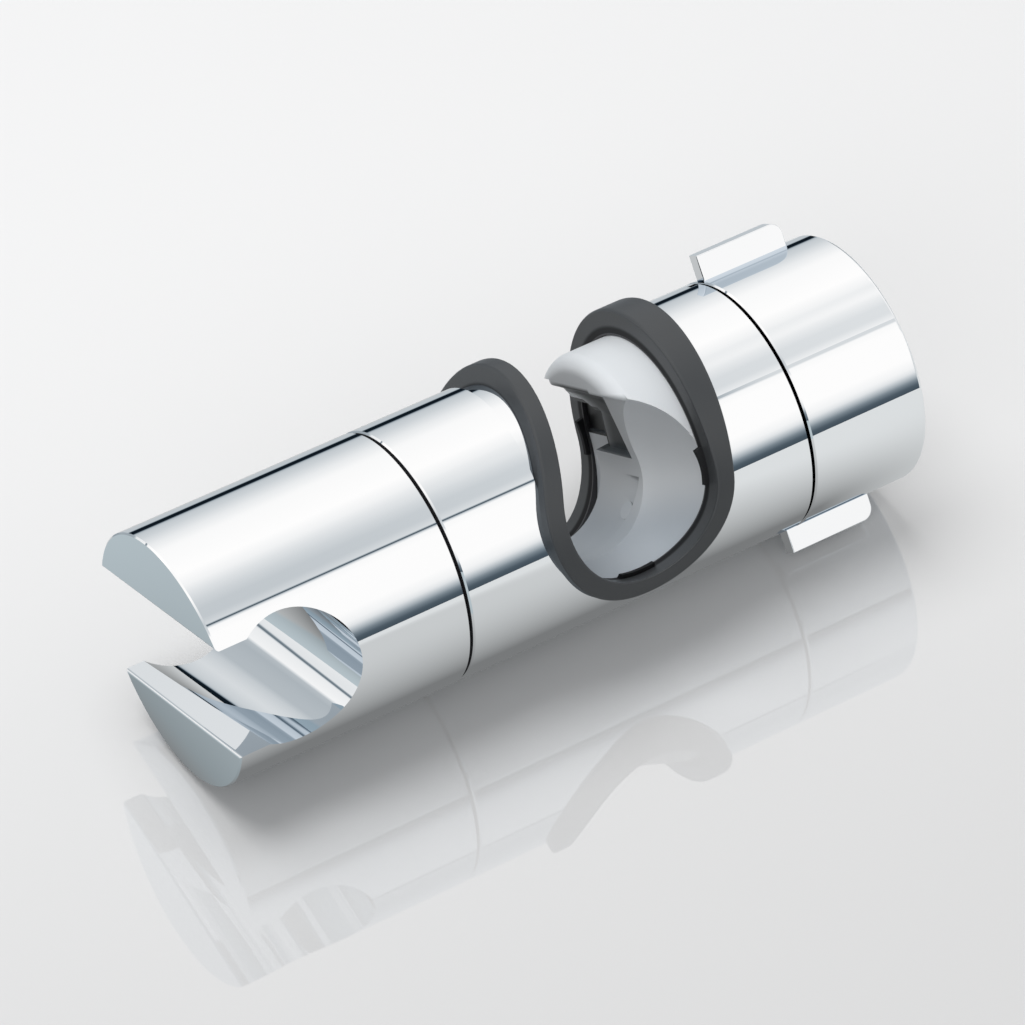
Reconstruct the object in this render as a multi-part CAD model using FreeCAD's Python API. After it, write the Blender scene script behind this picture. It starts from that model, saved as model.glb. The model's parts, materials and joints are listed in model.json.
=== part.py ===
import FreeCAD, Part
import math
import os
from FreeCAD import Vector

# Shower head holder for a riser rail.
# A chromed barrel lies along X. At its -X end is a fork with a conical seat for the hand shower.
# The middle has a crossways bore for the rail, edged by a soft rim, and a jaw that a winged knob
# at the +X end draws along the barrel.
# Millimetres. The origin is on the barrel axis, at the middle of the rail that the jaw holds at rest.
# The barrel lies as it comes to lie on a table, with +Z up.
# Bench axes, before each group is turned about X: X along the barrel, Y towards the rail mouth or
# across the fork slot, Z along the rail or along the hand shower's cone.

# Barrel. The body's length follows from the rail, the jaw and its travel.
barrel_r = 20.0
head_length = 38.9
knob_length = 20.3
ring_gap = 0.45
edge_break = 0.25

# How the groups are turned about X
mouth_angle = 60.4
head_angle = 73.4
wing_angle = 56.4

# Rail bore, mouth and soft rim
rail_rest_r = 10.5
bore_r = 12.7
mouth_lean_left = 20.0
mouth_lean_right = 3.0
rim_neck = 1.4
rim_width = 3.0
rim_lean_left = 21.5
rim_lean_right = 9.0
rim_proud = 2.0
rim_seat_depth = 0.8
rim_inner_gap = 0.3
rim_edge_round = 0.4
rim_clip_reach = 0.7
rim_clip_back = 0.8
rim_clip_spans = ((-14, 12), (-108, -80))
shelf_start = 7.0
shelf_width = 2.6
shelf_lean = 6.0

# Body shell
shell_wall = 2.0
partition = 4.0
mark_width = 1.3
mark_length = 1.6
mark_depth = 0.8

# Fork and cone seat
seat_to_fork = 10.6
seat_near_r = 10.4
seat_far_r = 11.6
slot_width = 17.6
fork_edge_round = 0.5
core_wall = 2.4
core_depth = 13.0
core_boss_r = 8.5
rib_width = 2.0

# Head pivot
stub_r = 6.0
stub_short = 0.2
running_gap = 0.06
insert_r = 3.4
insert_bore_r = 2.1
insert_length = 11.5
insert_set_back = 0.4
pivot_screw_r = 2.0
pivot_screw_reach = 10.0
pivot_head_r = 4.5
pivot_head_h = 3.0
pivot_head_to_pad = 5.92
flat_washer_r = 8.4
flat_washer_t = 1.0
spring_washer_r = 5.6
spring_washer_t = 0.7
spring_washer_rise = 0.7
washer_hole_r = 2.4
washer_pocket_gap = 0.4
friction_ring_below = 1.2
friction_ring_gap = 0.2

# Pad on the fixed side of the bore
pad_thick = 2.0
pad_half_height = 9.2
pad_half_length = 13.0

# Jaw
jaw_gap = 0.15
jaw_open_travel = 10.0
jaw_close_travel = 3.0
travel_spare = 0.2
lip_to_rail = 3.7
lip_angle = 9.0
lip_below = 6.15
lip_rise = 1.0
lip_round = 0.7
nose_round = 2.5
tongue_reach = 3.2
throat_half = 6.5
bell_mid = 4.5
bell_mid_rise = 3.7
bell_end = 11.0
bell_end_rise = 5.0
far_throat = 7.0
far_flare = 0.8
far_flare_rise = 4.7
pocket_low = 0.8
pocket_depth = 1.8
pocket_roof_rise = 3.6
pocket_near = 4.5
window_depth = 5.2
window_far = 6.0
relief_depth = 0.9
relief_high = -2.0
relief_start = 0.9
relief_near = 6.0
relief_lean = 19.0
nub_r = 1.4
nub_angle = -40.0
nub_ahead = 2.4
nub_below = 0.15
key_width = 3.0
key_height = 1.4
key_gap = 0.15
jaw_floor = 2.6
jaw_block = 8.37

# Jaw screw, threaded bush and end plate
thread_r = 3.9
screw_head_flats = 10.0
screw_head_h = 2.4
head_edge = 0.4
cross_reach = 0.6
thread_lead_in = 0.5
screw_tip_gap = 2.8
thread_gap = 0.07
journal_r = 5.6
flange_r = 8.4
flange_t = 1.3
flange_gap = 0.8
thrust_washer_t = 0.6
plate_t = 1.8
plate_seat = 0.6
plate_ring_t = 0.9
plate_ring_grip = 0.5
plate_ring_width = 1.7
plate_ring_opening = 34.0
plate_hub_r = 8.4
plate_hub_length = 5.5
clip_t = 0.8
clip_r = 8.0
clip_groove = 0.7
clip_gap = 0.3
clip_opening = 7.0
drive_length = 8.4
drive_flat = 4.6
drive_collar = 0.5
nut_thread_r = 5.0
nut_thread_length = 3.0

# Knob
knob_wall = 2.0
knob_end_wall = 2.5
knob_hub_r = 9.0
knob_end_round = 0.9
wing_proud = 4.2
wing_length = 15.0
wing_thick = 2.5
wing_corner = 2.0
wing_edge = 0.2
wing_from_edge = 0.1
knob_washer_r = 8.0
knob_washer_t = 0.5
knob_washer_gap = 0.2
knob_nut_flats = 13.6
knob_nut_h = 2.2
nut_recess_gap = 0.3
cap_r = 9.8
cap_t = 1.5
cap_plug = 1.0
cap_plug_wall = 0.5
cap_edge = 0.3
press_gap = 0.05
driver_slot = 1.0
driver_depth = 1.3

# Stations along the barrel
bore_x = bore_r - rail_rest_r
pad_back_x = bore_x - bore_r - pad_thick
pivot_head_x = pad_back_x - pivot_head_to_pad - pivot_head_h
partition_x = pivot_head_x - spring_washer_rise - spring_washer_t - flat_washer_t
body_front_x = partition_x - partition
head_back_x = body_front_x - ring_gap
fork_x = head_back_x - head_length
seat_x = fork_x + seat_to_fork
chamber_x = -tongue_reach - jaw_close_travel - travel_spare
screw_head_x = rail_rest_r + jaw_floor
shank_x = screw_head_x + screw_head_h
jaw_back_x = rail_rest_r + jaw_block
lip_x = rail_rest_r - lip_to_rail
plate_x = jaw_back_x + jaw_open_travel + travel_spare
flange_x = plate_x - thrust_washer_t - flange_t
jaw_pocket_x = flange_x - travel_spare - jaw_open_travel
plate_outer_x = plate_x + plate_t
body_back_x = plate_outer_x + plate_ring_t + edge_break
knob_front_x = body_back_x + ring_gap
knob_end_x = knob_front_x + knob_length
screw_end_x = knob_end_x - cap_t - cap_plug - screw_tip_gap - jaw_open_travel
hub_end_x = plate_outer_x + plate_hub_length
clip_x = hub_end_x + clip_gap
clip_end_x = clip_x + clip_t
drive_x = clip_end_x + drive_collar
knob_seat_x = drive_x + drive_length
bush_end_x = knob_seat_x + nut_thread_length
nut_x = knob_seat_x + knob_washer_t

# Radii
shell_r = barrel_r - shell_wall
jaw_r = shell_r - jaw_gap
lip_height = jaw_r - lip_below
rim_crest_r = barrel_r + rim_proud
wing_tip_r = barrel_r + wing_proud
recess_r = knob_washer_r + nut_recess_gap
far = 2 * barrel_r


def rod(radius, x_from, x_to):
    return Part.makeCylinder(radius, x_to - x_from, Vector(x_from, 0, 0), Vector(1, 0, 0))


def tube(outer_r, inner_r, x_from, x_to):
    return rod(outer_r, x_from, x_to).cut(rod(inner_r, x_from - 1, x_to + 1))


def block(x_from, x_to, y_from, y_to, z_from, z_to):
    size = (x_to - x_from, y_to - y_from, z_to - z_from)
    return Part.makeBox(*size, Vector(x_from, y_from, z_from))


def turned(profile):
    # Revolves a closed outline of (x, radius) points about the barrel axis.
    points = [Vector(x, radius, 0) for x, radius in profile]
    face = Part.Face(Part.makePolygon(points + points[:1]))
    return face.revolve(Vector(0, 0, 0), Vector(1, 0, 0), 360)


def prism(wire, half_length):
    # Extrudes a wire drawn in the X-Y plane both ways along Z.
    solid = Part.Face(wire).extrude(Vector(0, 0, 2 * half_length))
    solid.translate(Vector(0, 0, -half_length))
    return solid


def about_x(shape, angle):
    turned_shape = shape.copy()
    turned_shape.rotate(Vector(0, 0, 0), Vector(1, 0, 0), angle)
    return turned_shape


def broken_bar(radius, x_from, x_to, start_break, end_break):
    # A round bar with a small chamfer at each end.
    return turned([(x_from, 0), (x_from, radius - start_break), (x_from + start_break, radius),
                   (x_to - end_break, radius), (x_to, radius - end_break), (x_to, 0)])


def edges_where(shape, test):
    return [edge for edge in shape.Edges if test(edge)]


def mid_point(edge):
    return edge.valueAt((edge.FirstParameter + edge.LastParameter) / 2)


def mouth_wire(radius, lean_left, lean_right):
    # The rail bore's outline: a round bottom that runs on, tangent, into two leaning mouth sides.
    left, right = math.radians(lean_left), math.radians(lean_right)
    top = far
    left_y = radius * math.sin(left)
    left_x = bore_x - radius * math.cos(left)
    right_y = -radius * math.sin(right)
    right_x = bore_x + radius * math.cos(right)
    low_left = Vector(left_x, left_y, 0)
    low_right = Vector(right_x, right_y, 0)
    top_left = Vector(left_x + (top - left_y) * math.tan(left), top, 0)
    top_right = Vector(right_x + (top - right_y) * math.tan(right), top, 0)
    bottom = Part.Arc(low_left, Vector(bore_x, -radius, 0), low_right).toShape()
    sides = [Part.makeLine(low_right, top_right), Part.makeLine(top_right, top_left),
             Part.makeLine(top_left, low_left)]
    return Part.Wire([bottom] + sides)


def mouth_prism(radius, lean_left, lean_right):
    return prism(mouth_wire(radius, lean_left, lean_right), far)


def bore_prism():
    return mouth_prism(bore_r, mouth_lean_left, mouth_lean_right)


def neck_prism():
    mid_left = (mouth_lean_left + rim_lean_left) / 2
    mid_right = (mouth_lean_right + rim_lean_right) / 2
    return mouth_prism(bore_r + rim_neck, mid_left, mid_right)


def flange_prism():
    return mouth_prism(bore_r + rim_width, rim_lean_left, rim_lean_right)


def slotted_head(radius, x_from, x_to):
    # A screw head at the +X end of a screw, with a driver cross cut in it.
    head = broken_bar(radius, x_from, x_to, 0, head_edge)
    reach = radius * cross_reach
    for half_y, half_z in ((reach, driver_slot / 2), (driver_slot / 2, reach)):
        head = head.cut(block(x_to - driver_depth, x_to + 1, -half_y, half_y, -half_z, half_z))
    return head


def holder_head():
    head = broken_bar(barrel_r, fork_x, head_back_x, edge_break, edge_break)
    stub_end = partition_x - stub_short
    head = head.fuse(rod(stub_r, head_back_x - 1, stub_end))
    head = head.cut(seat_cone()).cut(slot_prism())
    core = tube(barrel_r - core_wall, core_boss_r, head_back_x - core_depth, head_back_x + 1)
    for step in range(4):
        rib = block(head_back_x - core_depth - 1, head_back_x, -rib_width / 2, rib_width / 2, 0, barrel_r)
        core = core.cut(about_x(rib, 45 + 90 * step))
    head = head.cut(core)
    return head.cut(rod(insert_r, stub_end - insert_set_back - insert_length, stub_end + 1))


def seat_cone():
    # The seat's radii are those at the barrel's surface, and the cone runs on past it.
    run_on = barrel_r / 4
    spread = (seat_far_r - seat_near_r) / (2 * barrel_r) * run_on
    length = 2 * (barrel_r + run_on)
    return Part.makeCone(seat_far_r + spread, seat_near_r - spread, length, Vector(seat_x, 0, -length / 2))


def slot_prism():
    # The fork's slot, with its two edges rounded where it opens into the end face.
    half, edge_r = slot_width / 2, fork_edge_round
    cos_45 = math.cos(math.radians(45))
    wide = half + edge_r
    outline = []
    for side in (1, -1):
        face_point = Vector(fork_x, side * wide, 0)
        wall_point = Vector(fork_x + edge_r, side * half, 0)
        round_point = Vector(fork_x + edge_r * (1 - cos_45), side * (wide - edge_r * cos_45), 0)
        outline += [Part.makeLine(Vector(fork_x - 1, side * wide, 0), face_point),
                    Part.Arc(face_point, round_point, wall_point).toShape(),
                    Part.makeLine(wall_point, Vector(seat_x, side * half, 0))]
    for x, across in ((fork_x - 1, wide), (seat_x, half)):
        outline.append(Part.makeLine(Vector(x, -across, 0), Vector(x, across, 0)))
    return prism(Part.Wire(Part.__sortEdges__(outline)), far)


def head_insert():
    end_x = partition_x - stub_short - insert_set_back
    return tube(insert_r, insert_bore_r, end_x - insert_length, end_x)


def head_friction_ring():
    outer_r = barrel_r - edge_break - friction_ring_below
    return tube(outer_r, stub_r + friction_ring_gap, head_back_x, body_front_x)


def head_flat_washer():
    return tube(flat_washer_r, washer_hole_r, partition_x, partition_x + flat_washer_t)


def head_spring_washer():
    x = partition_x + flat_washer_t
    rise = spring_washer_rise
    thick = spring_washer_t
    return turned([(x, spring_washer_r), (x + rise, washer_hole_r), (x + rise + thick, washer_hole_r),
                   (x + thick, spring_washer_r)])


def head_pivot_screw():
    shank = rod(pivot_screw_r, partition_x - pivot_screw_reach, pivot_head_x)
    return shank.fuse(slotted_head(pivot_head_r, pivot_head_x, pivot_head_x + pivot_head_h))


def clamp_body():
    body = broken_bar(barrel_r, body_front_x, body_back_x, edge_break, edge_break)
    chamber = rod(shell_r, chamber_x, plate_x)
    key = block(chamber_x - 1, plate_x + 1, -barrel_r, -shell_r + key_height, -key_width / 2, key_width / 2)
    body = body.cut(chamber.cut(key))
    body = body.cut(rod(shell_r + plate_seat, plate_x, body_back_x + 1))
    body = body.cut(rod(shell_r + plate_seat + plate_ring_grip, plate_outer_x, plate_outer_x + plate_ring_t))
    body = body.cut(rod(stub_r + running_gap, body_front_x - 1, partition_x + 1))
    body = body.cut(rod(flat_washer_r + washer_pocket_gap, partition_x, bore_x))
    body = body.cut(bore_prism())
    outside_neck = rod(barrel_r + 1, body_front_x - 1, body_back_x + 1)
    outside_neck = outside_neck.cut(rod(shell_r + rim_inner_gap, body_front_x - 2, body_back_x + 2))
    body = body.cut(neck_prism().common(outside_neck))
    seat_zone = tube(barrel_r + 1, barrel_r - rim_seat_depth, body_front_x - 1, body_back_x + 1)
    body = body.cut(flange_prism().fuse(shelf_prism()).common(seat_zone))
    body = body.cut(pad_shape())
    mark_x = body_back_x - mark_length
    mark = block(mark_x, body_back_x + 1, barrel_r - mark_depth, far, -mark_width / 2, mark_width / 2)
    return body.cut(about_x(mark, wing_angle - mouth_angle))


def shelf_prism():
    # The step in the shell beside the rim's fork-side arm, which leaves a crescent of it bare.
    lean = math.tan(math.radians(rim_lean_left))
    radius = bore_r + rim_width
    left = math.radians(rim_lean_left)
    start_x = bore_x - radius * math.cos(left) + (shelf_start - radius * math.sin(left)) * lean
    top_x = start_x + (far - shelf_start) * math.tan(math.radians(shelf_lean))
    rim_top_x = start_x + (far - shelf_start) * lean
    points = [Vector(start_x, shelf_start, 0), Vector(top_x, far, 0),
              Vector(rim_top_x + shelf_width, far, 0), Vector(start_x + shelf_width, shelf_start, 0)]
    return prism(Part.makePolygon(points + points[:1]), far)


def bore_rim():
    ring = tube(rim_crest_r, barrel_r - rim_seat_depth, body_front_x, body_back_x)
    flange = flange_prism().cut(bore_prism()).common(ring)
    sleeve = tube(barrel_r - rim_seat_depth, shell_r + rim_inner_gap, body_front_x, body_back_x)
    neck = neck_prism().cut(bore_prism()).common(sleeve)
    rim = flange.fuse(neck).fuse(rim_clips()).removeSplitter()

    def on_crest(edge):
        points = [edge.valueAt(edge.FirstParameter), mid_point(edge)]
        return all(abs(math.hypot(p.y, p.z) - rim_crest_r) < 0.02 for p in points)

    return rim.makeFillet(rim_edge_round, edges_where(rim, on_crest))


def rim_clips():
    # Short lips at the inner end of the rim's neck, on both sides of the barrel.
    outer_r = bore_r + rim_clip_back
    ring = Part.makeCylinder(outer_r, 2 * far, Vector(bore_x, 0, -far))
    ring = ring.cut(Part.makeCylinder(bore_r - rim_clip_reach, 2 * far, Vector(bore_x, 0, -far)))
    ring = ring.common(tube(barrel_r - rim_seat_depth, shell_r + rim_inner_gap, body_front_x, body_back_x))
    clips = []
    for start, end in rim_clip_spans:
        points = [Vector(bore_x, 0, -far)]
        for angle in (start, (start + end) / 2, end):
            turn = math.radians(angle)
            points.append(Vector(bore_x + far * math.cos(turn), far * math.sin(turn), -far))
        wedge = Part.Face(Part.makePolygon(points + points[:1])).extrude(Vector(0, 0, 2 * far))
        clips.append(ring.common(wedge))
    return clips[0].fuse(clips[1:])


def pad_shape():
    ring = Part.makeCylinder(bore_r + pad_thick, 2 * pad_half_length, Vector(bore_x, 0, -pad_half_length))
    ring = ring.cut(Part.makeCylinder(bore_r, far, Vector(bore_x, 0, -barrel_r)))
    window = block(-far, chamber_x, -pad_half_height, pad_half_height, -far, far)
    return ring.common(window)


def throat_prism():
    # What the jaw leaves open for the rail: a round throat, a leaning flank and a hooked lip.
    start = math.radians(180) + math.acos(tongue_reach / rail_rest_r)
    lip = math.radians(lip_angle)
    low = Vector(rail_rest_r * math.cos(start), rail_rest_r * math.sin(start), 0)
    high = Vector(rail_rest_r * math.cos(lip), rail_rest_r * math.sin(lip), 0)
    hook = Vector(high.x - (lip_height - high.y) * math.tan(lip), lip_height, 0)
    corner = Vector(lip_x, lip_height + lip_rise, 0)
    points = [high, hook, corner, Vector(lip_x, far, 0), Vector(-far, far, 0),
              Vector(-far, low.y, 0), low]
    sides = [Part.makeLine(one, other) for one, other in zip(points, points[1:])]
    bottom = Part.Arc(low, Vector(rail_rest_r, 0, 0), high).toShape()
    return prism(Part.Wire([bottom] + sides), far), corner


def about_rail(edges):
    # Revolves edges drawn in the X-Z plane, closed along the rail's axis, about that axis.
    return Part.Face(Part.Wire(edges)).revolve(Vector(0, 0, 0), Vector(0, 0, 1), 360)


def throat_flares():
    # The throat's bell mouth on the near side and its steeper mouth on the far side.
    start = Vector(rail_rest_r, 0, throat_half)
    middle = Vector(rail_rest_r + bell_mid_rise, 0, throat_half + bell_mid)
    end = Vector(rail_rest_r + bell_end_rise, 0, throat_half + bell_end)
    points = [end, Vector(end.x, 0, far), Vector(0, 0, far), Vector(0, 0, throat_half), start]
    sides = [Part.makeLine(one, other) for one, other in zip(points, points[1:])]
    near = about_rail([Part.Arc(start, middle, end).toShape()] + sides)
    wide_r = rail_rest_r + far_flare_rise
    flare_z = -far_throat - far_flare
    points = [Vector(0, 0, -far_throat), Vector(rail_rest_r, 0, -far_throat), Vector(wide_r, 0, flare_z),
              Vector(wide_r, 0, -far), Vector(0, 0, -far), Vector(0, 0, -far_throat)]
    return near, about_rail([Part.makeLine(one, other) for one, other in zip(points, points[1:])])


def throat_pocket():
    # A deeper pocket behind the throat's upper half, and the window at its far end.
    wall_x = rail_rest_r + pocket_depth
    roof_r = rail_rest_r + pocket_roof_rise
    roof = [math.radians(angle) for angle in (27, 40, 53)]
    first, middle, last = [Vector(roof_r * math.cos(turn), roof_r * math.sin(turn), 0) for turn in roof]
    points = [last, Vector(0, last.y, 0), Vector(0, pocket_low, 0), Vector(wall_x, pocket_low, 0), first]
    sides = [Part.makeLine(one, other) for one, other in zip(points, points[1:])]
    pocket = prism(Part.Wire([Part.Arc(first, middle, last).toShape()] + sides), far)
    pocket = pocket.common(block(-far, far, -far, far, -far, pocket_near))
    window = block(0, rail_rest_r + window_depth, pocket_low, first.y, -far, -window_far)
    return pocket.fuse(window)


def throat_relief():
    # A relief in the throat's lower half that deepens up to the leaning land on the near side.
    lean = math.tan(math.radians(relief_lean))
    corners = [(relief_high, -far), (relief_high, relief_near + relief_high * lean),
               (-shell_r, relief_near - shell_r * lean), (-shell_r, -far)]
    points = [Vector(0, y, z) for y, z in corners]
    side = Part.Face(Part.makePolygon(points + points[:1])).extrude(Vector(2 * far, 0, 0))
    side.translate(Vector(-far, 0, 0))
    deep_r = rail_rest_r + relief_depth
    cone = Part.makeCone(rail_rest_r, deep_r, relief_near - relief_start, Vector(0, 0, relief_start))
    return cone.common(side)


def throat_nub():
    turn = math.radians(nub_angle)
    way = Vector(math.cos(turn), math.sin(turn), 0)
    start = way * (rail_rest_r + nub_below) + Vector(0, 0, nub_ahead)
    return Part.makeCylinder(nub_r, 2 * relief_depth, start, way)


def jaw_slug(slug_r):
    # The upper half ends in a rounded nose, the lower half in the tongue under the rail.
    nose = rod(slug_r, lip_x, jaw_back_x)
    front = edges_where(nose, lambda edge: abs(mid_point(edge).x - lip_x) < 0.01)
    nose = nose.makeFillet(nose_round, front).common(block(-far, far, 0, far, -far, far))
    tongue = rod(slug_r, -tongue_reach, jaw_back_x).common(block(-far, far, -far, 0, -far, far))
    return nose.fuse(tongue)


def clamp_jaw():
    jaw = jaw_slug(jaw_r)
    throat, corner = throat_prism()
    jaw = jaw.cut(throat)
    corner_edge = edges_where(jaw, lambda edge: abs(mid_point(edge).x - corner.x) < 0.01
                              and abs(mid_point(edge).y - corner.y) < 0.01)
    jaw = jaw.makeFillet(lip_round, corner_edge)
    near, opposite = throat_flares()
    jaw = jaw.cut(near).cut(opposite).cut(throat_pocket()).cut(throat_relief()).fuse(throat_nub())
    key_top = -shell_r + key_height + key_gap
    half_key = key_width / 2 + key_gap
    jaw = jaw.cut(block(-far, far, -barrel_r, key_top, -half_key, half_key))
    jaw = jaw.cut(rod(flange_r + flange_gap, jaw_pocket_x, jaw_back_x + 1))
    return jaw.cut(jaw_screw()).removeSplitter()


def hex_bar(flats, x_from, x_to):
    corner_r = flats / 2 / math.cos(math.radians(30))
    points = []
    for step in range(6):
        angle = math.radians(60 * step)
        points.append(Vector(x_from, corner_r * math.cos(angle), corner_r * math.sin(angle)))
    return Part.Face(Part.makePolygon(points + points[:1])).extrude(Vector(x_to - x_from, 0, 0))


def jaw_screw():
    head = hex_bar(screw_head_flats, screw_head_x, shank_x)
    return head.fuse(broken_bar(thread_r, shank_x - thread_lead_in, screw_end_x, 0, thread_lead_in))


def drive_bar(radius, flat, x_from, x_to):
    return rod(radius, x_from, x_to).common(block(x_from, x_to, -far, far, -flat, flat))


def drive_bush():
    bush = rod(flange_r, flange_x, flange_x + flange_t)
    bush = bush.fuse(rod(journal_r, flange_x + flange_t, clip_x))
    bush = bush.fuse(rod(journal_r - clip_groove, clip_x, clip_end_x))
    bush = bush.fuse(rod(journal_r, clip_end_x, drive_x))
    bush = bush.fuse(drive_bar(journal_r, drive_flat, drive_x, knob_seat_x))
    bush = bush.fuse(rod(nut_thread_r, knob_seat_x, bush_end_x))
    return bush.cut(rod(thread_r + thread_gap, flange_x - 1, bush_end_x + 1))


def thrust_washer():
    return tube(flange_r, journal_r + running_gap, plate_x - thrust_washer_t, plate_x)


def end_plate():
    plate = rod(shell_r + plate_seat, plate_x, plate_outer_x)
    plate = plate.fuse(rod(plate_hub_r, plate_outer_x, hub_end_x))
    return plate.cut(rod(journal_r + running_gap, plate_x - 1, hub_end_x + 1))


def plate_ring():
    outer_r = shell_r + plate_seat + plate_ring_grip
    inner_r = outer_r - plate_ring_grip - plate_ring_width
    ring = tube(outer_r, inner_r, plate_outer_x, plate_outer_x + plate_ring_t)
    half = math.radians(plate_ring_opening / 2)
    side_y, side_z = -far * math.cos(half), far * math.sin(half)
    corners = [Vector(plate_outer_x - 1, 0, 0), Vector(plate_outer_x - 1, side_y, -side_z),
               Vector(plate_outer_x - 1, side_y, side_z)]
    opening = Part.Face(Part.makePolygon(corners + corners[:1])).extrude(Vector(far, 0, 0))
    return ring.cut(opening)


def retaining_clip():
    clip = tube(clip_r, journal_r - clip_groove, clip_x, clip_end_x)
    return clip.cut(block(clip_x - 1, clip_end_x + 1, 0, far, -clip_opening / 2, clip_opening / 2))


def knob():
    knob_body = turned([(knob_front_x, 0), (knob_front_x, barrel_r - edge_break),
                        (knob_front_x + edge_break, barrel_r), (knob_end_x, barrel_r), (knob_end_x, 0)])
    rim_edge = edges_where(knob_body, lambda edge: abs(mid_point(edge).x - knob_end_x) < 0.01
                           and abs(math.hypot(mid_point(edge).y, mid_point(edge).z) - barrel_r) < 0.01)
    knob_body = knob_body.makeFillet(knob_end_round, rim_edge)
    for side in (0, 180):
        knob_body = knob_body.fuse(about_x(knob_wing(), wing_angle + side))
    inner_x = knob_end_x - knob_end_wall
    cavity = tube(barrel_r - knob_wall, knob_hub_r, drive_x, inner_x)
    knob_body = knob_body.cut(cavity.fuse(rod(barrel_r - knob_wall, knob_front_x - 1, drive_x)))
    socket = drive_bar(journal_r + press_gap, drive_flat + press_gap, drive_x, knob_seat_x + 1)
    knob_body = knob_body.cut(about_x(socket, wing_angle))
    knob_body = knob_body.cut(rod(recess_r, knob_seat_x, knob_end_x + 1))
    return knob_body.cut(rod(cap_r + press_gap, knob_end_x - cap_t, knob_end_x + 1))


def knob_wing():
    x_from = knob_front_x + wing_from_edge
    end_x = x_from + wing_length
    half = wing_thick / 2
    wing = block(x_from, end_x, barrel_r - knob_wall, wing_tip_r, -half, half)
    corner = edges_where(wing, lambda edge: abs(mid_point(edge).x - end_x) < 0.01
                         and abs(mid_point(edge).y - wing_tip_r) < 0.01)
    wing = wing.makeFillet(wing_corner, corner)
    tip_edges = edges_where(wing, lambda edge: abs(mid_point(edge).z) > half - 0.01
                            and mid_point(edge).y > barrel_r)
    return wing.makeFillet(wing_edge, tip_edges)


def knob_washer():
    return tube(knob_washer_r, nut_thread_r + knob_washer_gap, knob_seat_x, nut_x)


def knob_nut():
    nut = hex_bar(knob_nut_flats, nut_x, nut_x + knob_nut_h)
    return nut.cut(rod(nut_thread_r, nut_x - 1, nut_x + knob_nut_h + 1))


def knob_end_cap():
    inner_x = knob_end_x - cap_t
    cap = broken_bar(cap_r, inner_x, knob_end_x, 0, cap_edge)
    plug_r = recess_r - press_gap
    return cap.fuse(tube(plug_r, plug_r - cap_plug_wall, inner_x - cap_plug, inner_x + 0.1))


groups = [
    (head_angle, [holder_head, head_insert, head_friction_ring, head_flat_washer, head_spring_washer,
                  head_pivot_screw]),
    (mouth_angle, [clamp_body, bore_rim, clamp_jaw, jaw_screw, end_plate, plate_ring, thrust_washer]),
    (wing_angle, [drive_bush, retaining_clip, knob_washer, knob_nut, knob_end_cap]),
    (0, [knob]),
]

os.makedirs("parts", exist_ok=True)
pieces = {make.__name__: about_x(make(), angle) for angle, makers in groups for make in makers}
pieces["rail_pad"] = about_x(pad_shape(), mouth_angle)
for name, shape in pieces.items():
    shape.exportStep(f"parts/{name}.step")
    print(name, len(shape.Solids), shape.isValid(), round(shape.Volume, 1))
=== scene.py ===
# A shower head holder for a riser rail: chromed barrel with a fork, soft rim, jaw and winged knob
import bpy
import bmesh
import json
import math
from mathutils import Matrix, Vector


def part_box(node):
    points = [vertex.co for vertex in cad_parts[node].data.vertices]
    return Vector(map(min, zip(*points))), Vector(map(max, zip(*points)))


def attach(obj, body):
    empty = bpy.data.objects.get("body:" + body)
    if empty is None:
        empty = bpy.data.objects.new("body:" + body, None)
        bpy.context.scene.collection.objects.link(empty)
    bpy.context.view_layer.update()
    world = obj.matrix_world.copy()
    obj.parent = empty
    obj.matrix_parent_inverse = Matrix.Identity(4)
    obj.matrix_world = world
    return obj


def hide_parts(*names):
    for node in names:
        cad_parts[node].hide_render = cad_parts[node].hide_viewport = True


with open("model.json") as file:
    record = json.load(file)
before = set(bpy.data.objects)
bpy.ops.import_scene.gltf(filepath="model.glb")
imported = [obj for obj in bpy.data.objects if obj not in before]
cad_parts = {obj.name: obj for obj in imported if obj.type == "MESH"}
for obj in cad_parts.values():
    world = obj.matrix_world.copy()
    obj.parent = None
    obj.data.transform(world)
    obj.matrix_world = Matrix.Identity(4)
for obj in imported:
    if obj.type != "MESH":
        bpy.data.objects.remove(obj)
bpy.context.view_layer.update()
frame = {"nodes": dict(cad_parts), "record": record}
mm = 0.001
degree = math.pi / 180
welding = {"distance": 0.002 * mm, "creaseDegrees": 28, "flatDegrees": 0.3}
print("frame loaded")


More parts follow.
